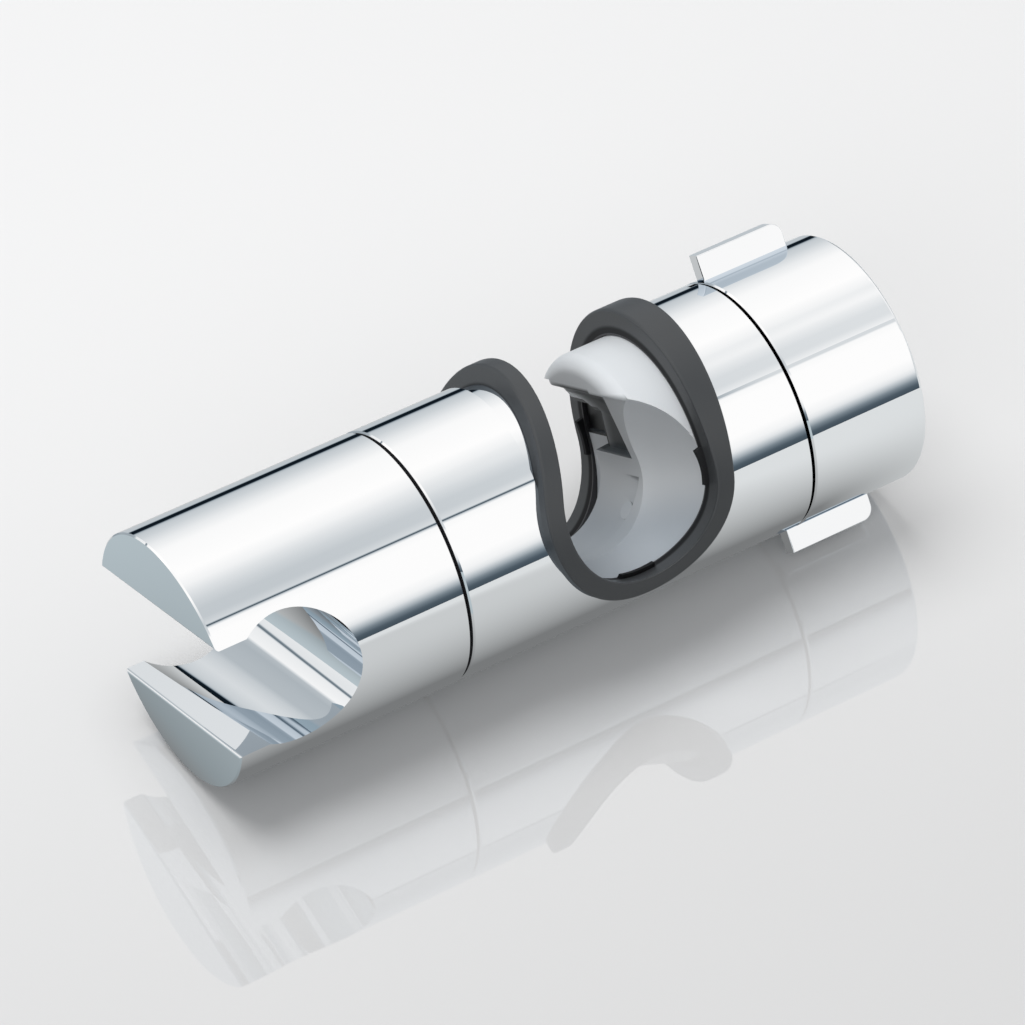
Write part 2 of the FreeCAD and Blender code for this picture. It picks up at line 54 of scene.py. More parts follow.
# Node maths written as expressions on sockets, for shaders and for Geometry Nodes
class Wire:
    def __init__(self, shader, socket):
        self.shader = shader
        self.socket = socket

    def maths(self, operation, first, second=None):
        values = {0: first} if second is None else {0: first, 1: second}
        return self.shader.node("ShaderNodeMath", {"operation": operation}, values)

    def __add__(self, other):
        return self.maths("ADD", self, other)

    def __radd__(self, other):
        return self.maths("ADD", other, self)

    def __sub__(self, other):
        return self.maths("SUBTRACT", self, other)

    def __rsub__(self, other):
        return self.maths("SUBTRACT", other, self)

    def __mul__(self, other):
        return self.maths("MULTIPLY", self, other)

    def __rmul__(self, other):
        return self.maths("MULTIPLY", other, self)

    def __truediv__(self, other):
        return self.maths("DIVIDE", self, other)

    def __pow__(self, other):
        return self.maths("POWER", self, other)

    def __rpow__(self, other):
        return self.maths("POWER", other, self)

    def __abs__(self):
        return self.maths("ABSOLUTE", self)

    def __gt__(self, other):
        return self.maths("GREATER_THAN", self, other)

    def __lt__(self, other):
        return self.maths("LESS_THAN", self, other)

    def atLeast(self, other):
        return self.maths("MAXIMUM", self, other)

    def held(self, low, high):
        return self.maths("MINIMUM", self.atLeast(low), high)

    def cosine(self):
        return self.maths("COSINE", self)

    def sine(self):
        return self.maths("SINE", self)

    def tangent(self):
        return self.maths("TANGENT", self)

    def arcCosine(self):
        return self.maths("ARCCOSINE", self)

    def angleFrom(self, level):
        return self.maths("ARCTAN2", self, level)

    def fraction(self):
        return self.maths("FRACT", self)

    def modulo(self, whole):
        return self.maths("FLOORED_MODULO", self, whole)

    def smooth(self, low, high):
        values = {"Value": self, "From Min": low, "From Max": high}
        return self.shader.node("ShaderNodeMapRange", {"interpolation_type": "SMOOTHSTEP"}, values)


secondLook = (0.64, 0.71, 0.78, 1)  # the tint of what chrome mirrors by way of other chrome


class Shader:
    def __init__(self, tree):
        self.tree = tree
        tree.nodes.clear()

    def node(self, kind, settings=None, values=None, output=0):
        made = self.tree.nodes.new(kind)
        for name, value in (settings or {}).items():
            if name == "stops":
                self.setStops(made.color_ramp, value)
            else:
                setattr(made, name, value)
        for name, value in (values or {}).items():
            self.feed(made.inputs[name], value)
        return Wire(self, made.outputs[output]) if made.outputs else made

    def feed(self, socket, value):
        if isinstance(value, Wire):
            self.tree.links.new(value.socket, socket)
        else:
            socket.default_value = value

    def setStops(self, ramp, stops):
        while len(ramp.elements) > 1:
            ramp.elements.remove(ramp.elements[-1])
        ramp.elements[0].position, ramp.elements[0].color = stops[0]
        for place, colour in stops[1:]:
            ramp.elements.new(place).color = colour

    def ramp(self, factor, stops):
        return self.node("ShaderNodeValToRGB", {"stops": stops}, {"Fac": factor})

    def place(self):
        return self.node("ShaderNodeTexCoord", output="Object")

    def along(self, place, axis):
        return self.node("ShaderNodeSeparateXYZ", {}, {"Vector": place}, axis)

    def noise(self, place, scale, detail=2.0):
        values = {"Vector": place, "Scale": scale, "Detail": detail}
        return self.node("ShaderNodeTexNoise", {}, values)

    # Ambient occlusion from the piece's own mesh, used to paint shade into hollows
    def cavityShade(self, reach, samples):
        settings = {"samples": samples, "only_local": True}
        return self.node("ShaderNodeAmbientOcclusion", settings, {"Distance": reach}, "AO")

    def mixColour(self, factor, first, second):
        made = self.tree.nodes.new("ShaderNodeMix")
        made.data_type = "RGBA"
        for name, value in (("Factor_Float", factor), ("A_Color", first), ("B_Color", second)):
            self.feed(next(s for s in made.inputs if s.identifier == name), value)
        return Wire(self, next(s for s in made.outputs if s.identifier == "Result_Color"))

    def dimmed(self, colour):
        bounces = self.node("ShaderNodeLightPath", output="Glossy Depth")
        tint = self.mixColour(bounces > 1.5, (1, 1, 1, 1), secondLook)
        return self.node("ShaderNodeVectorMath", {"operation": "MULTIPLY"}, {0: colour, 1: tint})

    def bump(self, height, strength, distance):
        values = {"Height": height, "Strength": strength, "Distance": distance}
        return self.node("ShaderNodeBump", {}, values)

    def surface(self, values):
        shine = self.node("ShaderNodeBsdfPrincipled", {}, values)
        self.node("ShaderNodeOutputMaterial", {}, {"Surface": shine})

    def background(self, colour, strength=1.0):
        return self.node("ShaderNodeBackground", {}, {"Color": colour, "Strength": strength})

    def mixShader(self, factor, first, second):
        return self.node("ShaderNodeMixShader", {}, {0: factor, 1: first, 2: second})


class Rule(Shader):
    # A Geometry Nodes tree that bends flat grids of rows and columns into a shape, by named sizes
    def __init__(self, name, sizes):
        super().__init__(bpy.data.node_groups.new(name, "GeometryNodeTree"))
        self.tree.is_modifier = True
        self.sizes = sizes
        self.sockets = {}
        for title, value in sizes.items():
            kind = "NodeSocketInt" if isinstance(value, int) else "NodeSocketFloat"
            self.sockets[title] = self.newSocket(title, "INPUT", kind)
        self.finishSocket = self.newSocket("Finish", "INPUT", "NodeSocketMaterial")
        self.newSocket("Geometry", "OUTPUT", "NodeSocketGeometry")
        self.given = self.tree.nodes.new("NodeGroupInput")

    def newSocket(self, title, way, kind):
        return self.tree.interface.new_socket(name=title, in_out=way, socket_type=kind)

    def size(self, title):
        return Wire(self, self.given.outputs[title])

    def grid(self, rows, columns):
        values = {"Size X": rows - 1, "Size Y": columns - 1,
                  "Vertices X": rows, "Vertices Y": columns}
        mesh = self.node("GeometryNodeMeshGrid", {}, values)
        place = self.node("GeometryNodeInputPosition")
        row = self.along(place, "X") + (rows - 1) * 0.5
        return mesh, row, self.along(place, "Y") + (columns - 1) * 0.5

    def section(self, row, points):
        # The outline that the rows follow, as two shares between 0 and 1
        last = len(points) - 1
        stops = [(step / last, (across, up, 0, 1)) for step, (across, up) in enumerate(points)]
        colour = self.ramp(row / last, stops)
        return self.along(colour, "X"), self.along(colour, "Y")

    def bend(self, mesh, along, across, up, turn):
        # Sizes are in millimetres: along the barrel, then across and up in a frame turned about it
        y = across * turn.cosine() - up * turn.sine()
        z = across * turn.sine() + up * turn.cosine()
        place = self.node("ShaderNodeCombineXYZ", {}, {"X": along * mm, "Y": y * mm, "Z": z * mm})
        return self.node("GeometryNodeSetPosition", {}, {"Geometry": mesh, "Position": place})

    def finishTree(self, parts):
        joined = self.tree.nodes.new("GeometryNodeJoinGeometry")
        for part in parts:
            self.tree.links.new(part.socket, joined.inputs[0])
        values = {"Geometry": Wire(self, joined.outputs[0]), "Distance": welding["distance"]}
        closed = self.node("GeometryNodeMergeByDistance", {}, values)
        real = self.node("GeometryNodeRealizeInstances", {}, {"Geometry": closed})
        values = {"Geometry": real, "Material": self.size("Finish")}
        coated = self.node("GeometryNodeSetMaterial", {}, values)
        self.node("NodeGroupOutput", {}, {"Geometry": coated})

    def make(self, name, parts, material):
        self.finishTree(parts)
        holder = bpy.data.objects.new(name + "Rule", bpy.data.meshes.new(name + "Rule"))
        bpy.context.scene.collection.objects.link(holder)
        modifier = holder.modifiers.new(name, "NODES")
        modifier.node_group = self.tree
        for title, value in self.sizes.items():
            modifier[self.sockets[title].identifier] = value
        modifier[self.finishSocket.identifier] = material
        bpy.context.view_layer.update()
        shaped = holder.evaluated_get(bpy.context.evaluated_depsgraph_get())
        mesh = bpy.data.meshes.new_from_object(shaped)
        holder.modifiers.remove(modifier)
        bpy.data.objects.remove(holder)
        mesh.name = name
        return mesh


def newMaterial(name):
    material = bpy.data.materials.new(name)
    material.use_nodes = True
    return material, Shader(material.node_tree)


def grey(level):
    return (level, level, level, 1.0)


# Finishes: colours are linear light, and lengths are metres in the piece's own coordinates
chromeFinish = {"colour": (0.97, 0.97, 0.972, 1), "deep": (0.945, 0.947, 0.95, 1),
                "rough": 0.018, "roughSpread": 0.014, "cloudScale": 35.0, "cloudShare": 0.6,
                "speckScale": 900.0, "waveScale": 90.0, "waveStrength": 0.012, "waveDepth": 0.0002}


def chromePlate():
    finish = chromeFinish
    material, shader = newMaterial("chromePlate")
    place = shader.place()
    cloud = shader.noise(place, finish["cloudScale"], detail=3.0)
    speck = shader.noise(place, finish["speckScale"])
    wave = shader.noise(place, finish["waveScale"], detail=1.0)
    haze = cloud * finish["cloudShare"] + speck * (1 - finish["cloudShare"])
    shader.surface({"Base Color": shader.mixColour(cloud, finish["deep"], finish["colour"]),
                    "Metallic": 1.0,
                    "Roughness": finish["rough"] + (haze - 0.5) * finish["roughSpread"],
                    "Normal": shader.bump(wave, finish["waveStrength"], finish["waveDepth"])})
    return material


# The rim's neck colour is painted shade: near-black where the band dips into the mouth
rimFinish = {"dark": (0.033, 0.036, 0.039, 1), "light": (0.05, 0.053, 0.056, 1), "rough": 0.42,
             "neck": (0.006, 0.006, 0.007, 1), "neckShadeFrom": 0.0190, "neckShadeTo": 0.0197,
             "neckRough": 0.4, "cloudScale": 60.0, "cloudRough": 0.14, "grainRough": 0.1,
             "grainScale": 4200.0, "grainStrength": 0.22, "grainDepth": 0.00003}


def softRubber():
    # Painted shade: the neck, nearer the barrel's axis than the band, is painted near-black for
    # the deep shade it sits in, and is duller
    finish = rimFinish
    material, shader = newMaterial("softRubber")
    place = shader.place()
    cloud = shader.noise(place, finish["cloudScale"], detail=3.0)
    grain = shader.noise(place, finish["grainScale"])
    fromAxis = (shader.along(place, "Y") ** 2 + shader.along(place, "Z") ** 2) ** 0.5
    outside = fromAxis.smooth(finish["neckShadeFrom"], finish["neckShadeTo"])
    band = shader.mixColour(cloud, finish["dark"], finish["light"])
    rough = finish["rough"] + (cloud - 0.5) * finish["cloudRough"]
    rough = rough + (grain - 0.5) * finish["grainRough"] + (1 - outside) * finish["neckRough"]
    shader.surface({"Base Color": shader.mixColour(outside, finish["neck"], band),
                    "Roughness": rough,
                    "Normal": shader.bump(grain, finish["grainStrength"], finish["grainDepth"])})
    return material


# In jawFinish the deep, low, pocket and window colours are painted shade and nub is a painted
# highlight; milk and shade mix at random by flow
jawFinish = {"milk": (0.70, 0.725, 0.745, 1), "shade": (0.62, 0.645, 0.665, 1), "flowScale": 45.0,
             "rough": 0.36, "roughSpread": 0.12, "gloss": 0.45,
             "softShare": 0.25, "softDepth": 0.0015,
             "deep": (0.105, 0.12, 0.132, 1), "deepFrom": 0.22, "deepTo": 0.78,
             "deepReach": 0.014, "deepSamples": 16,
             "low": (0.42, 0.46, 0.50, 1), "lowFrom": -0.0095, "lowTo": -0.002,
             "pocket": (0.03, 0.033, 0.037, 1), "pocketInside": 0.0107, "pocketOutside": 0.0146,
             "pocketFoot": 0.0004, "pocketNear": 0.0047, "pocketFar": -0.010, "pocketFull": -0.003,
             "window": (0.004, 0.004, 0.005, 1), "windowOutside": 0.0162, "windowRoof": 0.0072,
             "windowFrom": -0.0056, "blur": 0.0006, "mouthTurn": 60.4,
             "nubHighlight": (0.54, 0.58, 0.615, 1), "nubTurn": -40.0, "nubDepth": 0.0024,
             "nubRadius": 0.0014,
             "grainScale": 1800.0, "grainStrength": 0.12, "grainDepth": 0.00003}


def jawPaintedShading(shader, place, body):
    # Painted shade and a painted highlight laid on the jaw's colour.
    # Places round the throat: rise goes up out of the mouth, and depth goes along the rail
    finish = jawFinish
    turn, blur = math.radians(finish["mouthTurn"]), finish["blur"]
    x, y, z = shader.along(place, "X"), shader.along(place, "Y"), shader.along(place, "Z")
    rise = y * math.cos(turn) + z * math.sin(turn)
    depth = z * math.cos(turn) - y * math.sin(turn)
    radius = (x ** 2 + rise ** 2) ** 0.5
    # Painted shade: lower in the throat, by rise, the jaw turns to the darker, bluer low colour
    low = rise.smooth(finish["lowFrom"], finish["lowTo"])
    body = shader.mixColour(low, finish["low"], body)

    # Painted shade: the pocket behind the crest, under the lip, is painted near-black as the shade
    # that falls there
    inside, outside = finish["pocketInside"], finish["pocketOutside"]
    foot, near = finish["pocketFoot"], finish["pocketNear"]
    pocket = radius.smooth(inside, inside + blur) * (1 - radius.smooth(outside, outside + blur))
    pocket = pocket * rise.smooth(foot, foot + blur) * (1 - depth.smooth(near - blur, near))
    pocket = pocket * depth.smooth(finish["pocketFar"], finish["pocketFull"])
    body = shader.mixColour(pocket, body, finish["pocket"])

    # Painted shade: the far side of the throat, past windowFrom, is painted almost black as the
    # deep shadow in the gap to the shell
    window = (x < finish["windowOutside"]) * (rise < finish["windowRoof"])
    window = window * (depth < finish["windowFrom"]) * (radius > inside + blur) * (rise > foot)
    body = shader.mixColour(window, body, finish["window"])

    # Painted highlight: a round spot on the nub is painted lighter, as the light it catches
    nubTurn = math.radians(finish["nubTurn"])
    sideways = rise * math.cos(nubTurn) - x * math.sin(nubTurn)
    outwards = depth - finish["nubDepth"]
    nubHighlight = ((sideways ** 2 + outwards ** 2) ** 0.5 < finish["nubRadius"]) * (radius < outside)
    return shader.mixColour(nubHighlight, body, finish["nubHighlight"])


def milkyPlastic():
    finish = jawFinish
    material, shader = newMaterial("milkyPlastic")
    place = shader.place()
    flow = shader.noise(place, finish["flowScale"], detail=3.0)
    grain = shader.noise(place, finish["grainScale"])
    body = jawPaintedShading(shader, place, shader.mixColour(flow, finish["shade"], finish["milk"]))
    # Painted shade: where the jaw's own occlusion is high, in hollows and under the lip, its
    # colour darkens towards deep
    cavityShade = shader.cavityShade(finish["deepReach"], finish["deepSamples"])
    cavityShade = cavityShade.smooth(finish["deepFrom"], finish["deepTo"])
    shader.surface({"Base Color": shader.mixColour(cavityShade, finish["deep"], body),
                    "Roughness": finish["rough"] + (flow - 0.5) * finish["roughSpread"],
                    "Subsurface Weight": finish["softShare"],
                    "Subsurface Radius": (1.0, 1.0, 1.0),
                    "Subsurface Scale": finish["softDepth"],
                    "Specular IOR Level": finish["gloss"],
                    "Normal": shader.bump(grain, finish["grainStrength"], finish["grainDepth"])})
    return material


brassFinish = {"bright": (0.86, 0.66, 0.34, 1), "dull": (0.72, 0.52, 0.24, 1), "rough": 0.28}
steelFinish = {"bright": (0.68, 0.69, 0.7, 1), "dull": (0.52, 0.53, 0.545, 1), "rough": 0.3}
turning = {"lineScale": (9000.0, 300.0, 300.0), "lineRough": 0.2, "lineStrength": 0.12,
           "lineDepth": 0.00002, "cloudScale": 120.0}


def turnedMetal(name, finish):
    # Fine lines run round the barrel's axis, as a lathe leaves them
    material, shader = newMaterial(name)
    place = shader.place()
    stretch = {"Vector": place, "Scale": turning["lineScale"]}
    lines = shader.noise(shader.node("ShaderNodeMapping", {}, stretch), 1.0)
    cloud = shader.noise(place, turning["cloudScale"], detail=3.0)
    worn = lines * 0.5 + cloud * 0.5
    shader.surface({"Base Color": shader.mixColour(worn, finish["dull"], finish["bright"]),
                    "Metallic": 1.0,
                    "Roughness": finish["rough"] + (lines - 0.5) * turning["lineRough"],
                    "Normal": shader.bump(lines, turning["lineStrength"], turning["lineDepth"])})
    return material


plasticFinish = {"dark": (0.03, 0.03, 0.033, 1), "light": (0.048, 0.048, 0.052, 1),
                 "rough": 0.5, "roughSpread": 0.2, "cloudScale": 90.0,
                 "grainScale": 3000.0, "grainStrength": 0.2, "grainDepth": 0.00003}


def darkPlastic(name):
    finish = plasticFinish
    material, shader = newMaterial(name)
    place = shader.place()
    cloud = shader.noise(place, finish["cloudScale"], detail=3.0)
    grain = shader.noise(place, finish["grainScale"])
    shader.surface({"Base Color": shader.mixColour(cloud, finish["dark"], finish["light"]),
                    "Roughness": finish["rough"] + (grain - 0.5) * finish["roughSpread"],
                    "Normal": shader.bump(grain, finish["grainStrength"], finish["grainDepth"])})
    return material


finishes = {
    "chrome": chromePlate(),
    "cap_chrome": chromePlate(),
    "rim": softRubber(),
    "jaw_white": milkyPlastic(),
    "brass": turnedMetal("turnedBrass", brassFinish),
    "steel": turnedMetal("stampedSteel", steelFinish),
    "black_plastic": darkPlastic("blackPlastic"),
}
# A dark plastic finish, painted on as the shade inside the shell and the knob
insideShade = darkPlastic("paintedShadeInside")
print("finishes made")


# Pieces that take the solid's own form, welded and shaded smooth
record = frame["record"]
slotOf = {part["node"]: part["material_slot"] for part in record["subparts"]}
bodyOf = {node: body for body, nodes in record["behaviour"]["bodies"].items() for node in nodes}
mountOf = {mount["name"]: mount for mount in record["mounts"]}
seat, throat = mountOf["handset_seat"], mountOf["rail_clamp"]


def roundForm(point, axis, radius, spread=0.0, near=0.05):
    # A cylinder, or a cone that widens by spread along its axis, whose true normals are known
    return {"point": Vector(point), "axis": Vector(axis).normalized(), "radius": radius * mm,
            "spread": spread, "near": near * mm, "facing": 0.94}


barrelForm = roundForm((0, 0, 0), (1, 0, 0), radius=20.0)
seatForm = roundForm(seat["pos_m"], seat["axis"], radius=11.0, spread=0.03, near=0.08)
throatForm = roundForm(throat["pos_m"], throat["axis"], radius=throat["dims"]["r_mm"])


def exactNormal(form, point, faceNormal):
    offset = point - form["point"]
    along = offset.dot(form["axis"])
    across = offset - along * form["axis"]
    if abs(across.length - form["radius"] - along * form["spread"]) > form["near"]:
        return None
    normal = (across.normalized() - form["spread"] * form["axis"]).normalized()
    if normal.dot(faceNormal) < 0:
        normal.negate()
    return normal if normal.dot(faceNormal) > form["facing"] else None


def flatAreas(work):
    # For each triangle, the area of the whole flat face that it belongs to
    areas = {}
    flat = math.cos(math.radians(welding["flatDegrees"]))
    for seed in work.faces:
        if seed in areas:
            continue
        region, waiting = {seed}, [seed]
        while waiting:
            for edge in waiting.pop().edges:
                for face in edge.link_faces:
                    isNew = face not in region and face not in areas
                    if isNew and face.normal.dot(seed.normal) > flat:
                        region.add(face)
                        waiting.append(face)
        total = sum(face.calc_area() for face in region)
        areas.update((face, total) for face in region)
    return areas


def shadingNormals(work, forms):
    # Large flat faces keep their own normal, so only the rounded edges between them bend the light
    crease = math.cos(math.radians(welding["creaseDegrees"]))
    areas = flatAreas(work)
    normals = []
    for face in work.faces:
        for loop in face.loops:
            exact = None
            for form in forms:
                exact = exact or exactNormal(form, loop.vert.co, face.normal)
            if exact is None:
                exact = Vector((0, 0, 0))
                for other in loop.vert.link_loops:
                    if other.face.normal.dot(face.normal) > crease:
                        exact += other.face.normal * areas[other.face] * other.calc_angle()
                exact.normalize()
            normals.append(exact)
    return normals


def paintInside(mesh, hollow):
    # Painted shade: faces near the barrel's axis, as far along as the hollow goes, take a dark
    # plastic finish for the shade inside the shell
    mesh.materials.append(insideShade)
    for polygon in mesh.polygons:
        centre = polygon.center
        if math.hypot(centre.y, centre.z) < hollow["radius"] and centre.x < hollow["end"]:
            polygon.material_index = 1


def smoothPiece(mesh, node, name, forms=(), hollow=None, turnOut=False):
    work = bmesh.new()
    work.from_mesh(mesh)
    bmesh.ops.remove_doubles(work, verts=work.verts, dist=welding["distance"])
    bmesh.ops.dissolve_degenerate(work, edges=work.edges, dist=welding["distance"])
    if turnOut:
        bmesh.ops.recalc_face_normals(work, faces=work.faces)
    work.normal_update()
    normals = shadingNormals(work, forms)
    work.to_mesh(mesh)
    work.free()
    mesh.materials.clear()
    mesh.materials.append(finishes[slotOf[node]])
    if hollow:
        paintInside(mesh, hollow)
    for polygon in mesh.polygons:
        polygon.use_smooth = True
    mesh.normals_split_custom_set(normals)
    piece = bpy.data.objects.new(name, mesh)
    bpy.context.scene.collection.objects.link(piece)
    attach(piece, bodyOf[node])
    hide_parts(node)


def weldedCopy(node, name, forms=(), hollow=None):
    mesh = frame["nodes"][node].data.copy()
    mesh.name = name
    smoothPiece(mesh, node, name, forms, hollow)


clampHollow = {"radius": 18.3 * mm, "end": 40.0 * mm}
knobHollow = {"radius": 18.05 * mm, "end": 49.5 * mm}
weldedCopy("holder_head", "forkHead", (barrelForm, seatForm))
weldedCopy("clamp_body", "clampShell", (barrelForm,), clampHollow)
weldedCopy("knob", "wingKnob", (barrelForm,), knobHollow)
print("chrome pieces made")
weldedCopy("clamp_jaw", "milkyJaw", (throatForm,))
print("jaw made")


# The soft rim: a rounded band that follows the mouth's outline where it cuts the barrel,
# up one side and down the other. Sizes are in millimetres, leans and turns in degrees.
rimSizes = {"Bore Centre": 2.2, "Bore Radius": 12.7, "Band Width": 3.0,
            "Inner Radius": 18.3, "Crest Radius": 22.0,
            "Left Lean": 20.0, "Right Lean": 3.0,
            "Left Lean Outside": 21.5, "Right Lean Outside": 9.0,
            "Mouth Turn": 60.4, "Half Columns": 120}
rimBand = {"neckWidth": 1.4, "neckTop": 19.2, "round": 0.4, "roundSteps": 4, "armShare": 0.3}
rimClips = {"spans": ((-14.0, 12.0), (-108.0, -80.0)), "reach": 0.7, "back": 0.8,
            "low": 18.35, "high": 19.15, "columns": 9}


def bandOutline():
    width, neck, top = rimSizes["Band Width"], rimBand["neckWidth"], rimBand["neckTop"]
    low, high = rimSizes["Inner Radius"], rimSizes["Crest Radius"]
    radius, steps = rimBand["round"], rimBand["roundSteps"]
    angles = [math.pi / 2 * step / steps for step in range(steps + 1)]
    points = [(0, low)]
    for angle in angles:
        across = radius * (1 - math.cos(angle))
        points.append((across, high - radius * (1 - math.sin(angle))))
    for angle in angles:
        across = width - radius * (1 - math.sin(angle))
        points.append((across, high - radius * (1 - math.cos(angle))))
    points += [(width, top), (neck, top), (neck, low), (0, low)]
    return [(across / width, (up - low) / (high - low)) for across, up in points]


def leanOf(rule, hand, share):
    # An arm of the band leans more at its outside edge than at the bore
    inside, outside = rule.size(hand + " Lean"), rule.size(hand + " Lean Outside")
    return (inside + share * (outside - inside)) * degree


def mouthBand(rule):
    outline = bandOutline()
    half = rule.size("Half Columns")
    mesh, row, column = rule.grid(len(outline), half * 2 + 1)
    share, rise = rule.section(row, outline)
    centre = rule.size("Bore Centre")
    radius = rule.size("Bore Radius") + share * rule.size("Band Width")
    inner, crest = rule.size("Inner Radius"), rule.size("Crest Radius")
    barrel = inner + rise * (crest - inner)
    left, right = leanOf(rule, "Left", share), leanOf(rule, "Right", share)

    way = 1 - abs(column / half - 1)
    arm = rimBand["armShare"]
    isLeft, isRight = way < arm, way > 1 - arm
    isRound = 1 - isLeft - isRight
    roundWay = ((way - arm) / (1 - 2 * arm)).held(0.0, 1.0)
    turn = math.pi - left + roundWay * (math.pi + left - right)
    leftX, leftY = centre - radius * left.cosine(), radius * left.sine()
    rightX, rightY = centre + radius * right.cosine(), 0 - radius * right.sine()
    leftUp = barrel * ((way / arm).held(0.0, 1.0) * (leftY / barrel).arcCosine()).cosine()
    rightWay = ((1 - way) / arm).held(0.0, 1.0)
    rightUp = barrel * (rightWay * (rightY / barrel).arcCosine()).cosine()

    x = isRound * (centre + radius * turn.cosine())
    x = x + isLeft * (leftX + (leftUp - leftY) * left.tangent())
    x = x + isRight * (rightX + (rightUp - rightY) * right.tangent())
    across = isRound * (radius * turn.sine()) + isLeft * leftUp + isRight * rightUp
    side = (column < half) * 2 - 1
    up = side * (barrel ** 2 - across ** 2).atLeast(0.0) ** 0.5
    return rule.bend(mesh, x, across, up, rule.size("Mouth Turn") * degree)


def mouthClip(rule, start, end, side):
    # A short inner lip of square section. Its first and last columns close to a point, as caps.
    outline = [(0, 0), (1, 0), (1, 1), (0, 1), (0, 0)]
    columns, reach, back = rimClips["columns"], rimClips["reach"], rimClips["back"]
    mesh, row, column = rule.grid(len(outline), columns + 2)
    share, rise = rule.section(row, outline)
    isEnd = (column < 0.5) + (column > columns + 0.5)
    share = share * (1 - isEnd) + isEnd * 0.5
    rise = rise * (1 - isEnd) + isEnd * 0.5
    radius = rule.size("Bore Radius") - reach + share * (reach + back)
    barrel = rimClips["low"] + rise * (rimClips["high"] - rimClips["low"])
    way = ((column - 1) / (columns - 1)).held(0.0, 1.0)
    turn = math.radians(start) + way * math.radians(end - start)
    across = radius * turn.sine()
    up = side * (barrel ** 2 - across ** 2) ** 0.5
    x = rule.size("Bore Centre") + radius * turn.cosine()
    return rule.bend(mesh, x, across, up, rule.size("Mouth Turn") * degree)


rimRule = Rule("mouthRimRule", rimSizes)
rimParts = [mouthBand(rimRule)]
for start, end in rimClips["spans"]:
    rimParts += [mouthClip(rimRule, start, end, side) for side in (-1.0, 1.0)]
rimMesh = rimRule.make("saddleRim", rimParts, finishes[slotOf["bore_rim"]])
smoothPiece(rimMesh, "bore_rim", "saddleRim", turnOut=True)
print("rim made")


# The jaw screw: a two-start thread. Each row of the grid follows the helix until it runs out at
# an end, and the rows come in fours: foot, crest, crest, foot. Sizes are in millimetres.
screwSizes = {"Thread Start": 15.2, "Thread End": 37.47, "Lead": 4.0, "Pitch": 2.0, "Early": 0.1,
              "Core Radius": 3.35, "Crest Radius": 3.9, "Flank": 0.65, "Columns": 49, "Rows": 59,
              "Head Start": 13.1, "Head End": 15.5, "Head Corner Radius": 5.7735,
              "Head Turn": 60.4}
profileRows = 4


def twoStartThread(rule):
    columns, rows = rule.size("Columns"), rule.size("Rows")
    mesh, row, column = rule.grid(rows, columns)
    start, end, pitch = rule.size("Thread Start"), rule.size("Thread End"), rule.size("Pitch")
    core, crest, lead = rule.size("Core Radius"), rule.size("Crest Radius"), rule.size("Lead")
    oneTurn = column / (columns - 1)
    kind = (row + 0.5).modulo(profileRows)
    isOdd = (row + 0.5).modulo(2.0) > 1.0
    step = pitch / profileRows * row + isOdd * (rule.size("Flank") - pitch / profileRows)
    free = start - lead - rule.size("Early") + step + lead * oneTurn
    isOut = (free < start) + (free > end)
    isCrest = (kind > 1.0) * (kind < 3.0) * (1 - isOut)
    isPole = (row < 0.5) + (row > rows - 1.5)
    radius = (core + isCrest * (crest - core)) * (1 - isPole)
    angle = oneTurn * (2 * math.pi)
    return rule.bend(mesh, free.held(start, end), radius * angle.cosine(), radius * angle.sine(),
                     rule.size("Head Turn") * degree)


def sixSidedHead(rule):
    sides = 6
    outline = [(0, 0), (0, 1), (1, 1), (1, 0)]
    mesh, row, column = rule.grid(len(outline), sides + 1)
    share, rise = rule.section(row, outline)
    radius = rule.size("Head Corner Radius") * rise
    angle = column * (2 * math.pi / sides)
    start, end = rule.size("Head Start"), rule.size("Head End")
    return rule.bend(mesh, start + share * (end - start), radius * angle.cosine(),
                     radius * angle.sine(), rule.size("Head Turn") * degree)


screwRule = Rule("jawScrewRule", screwSizes)
screwParts = [twoStartThread(screwRule), sixSidedHead(screwRule)]
screwMesh = screwRule.make("jawScrew", screwParts, finishes[slotOf["jaw_screw"]])
smoothPiece(screwMesh, "jaw_screw", "jawScrew", turnOut=True)
print("jaw screw made")

smallNames = {
    "rail_pad": "fixedPad", "head_insert": "stubInsert", "head_pivot_screw": "pivotScrew",
    "head_flat_washer": "flatWasher", "head_spring_washer": "springWasher",
    "head_friction_ring": "frictionRing", "end_plate": "hubPlate", "plate_ring": "snapRing",
    "thrust_washer": "thrustDisc", "drive_bush": "driveBush", "retaining_clip": "bushClip",
    "knob_washer": "seatWasher", "knob_nut": "thinNut", "knob_end_cap": "endCap",
}
for node, name in smallNames.items():
    weldedCopy(node, name)
print("inner pieces made")


# Floor, and the table that only the chrome mirrors
lowest = min(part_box(node)[0].z for node in frame["nodes"])
floorSize = {"half": 6.0, "gap": 0.00005, "sink": 0.0001,
             "tableLeft": -1.2, "tableRight": 1.2, "tableFront": -0.52, "tableBack": 0.07}
floorShade = {"pale": 0.765, "near": -0.13, "far": 0.12, "lean": 0.25, "nearLevel": 0.8,
              "cloudScale": 3.0, "cloudSpread": 0.02, "ior": 2.0, "rough": 0.0}
tableShade = {"level": 0.62, "middle": -0.013, "halfLength": 0.054, "halfWidth": 0.018,
              "reach": 0.017, "depth": 0.68,
              "endFrom": -0.066, "endTo": -0.071, "endLevel": 0.56, "endDepth": 0.55,
              "farLevel": 0.76, "farFrom": 0.02, "farTo": 0.07,
              "hue": (0.965, 1.0, 1.015, 1), "endHue": (0.86, 1.0, 1.07, 1)}


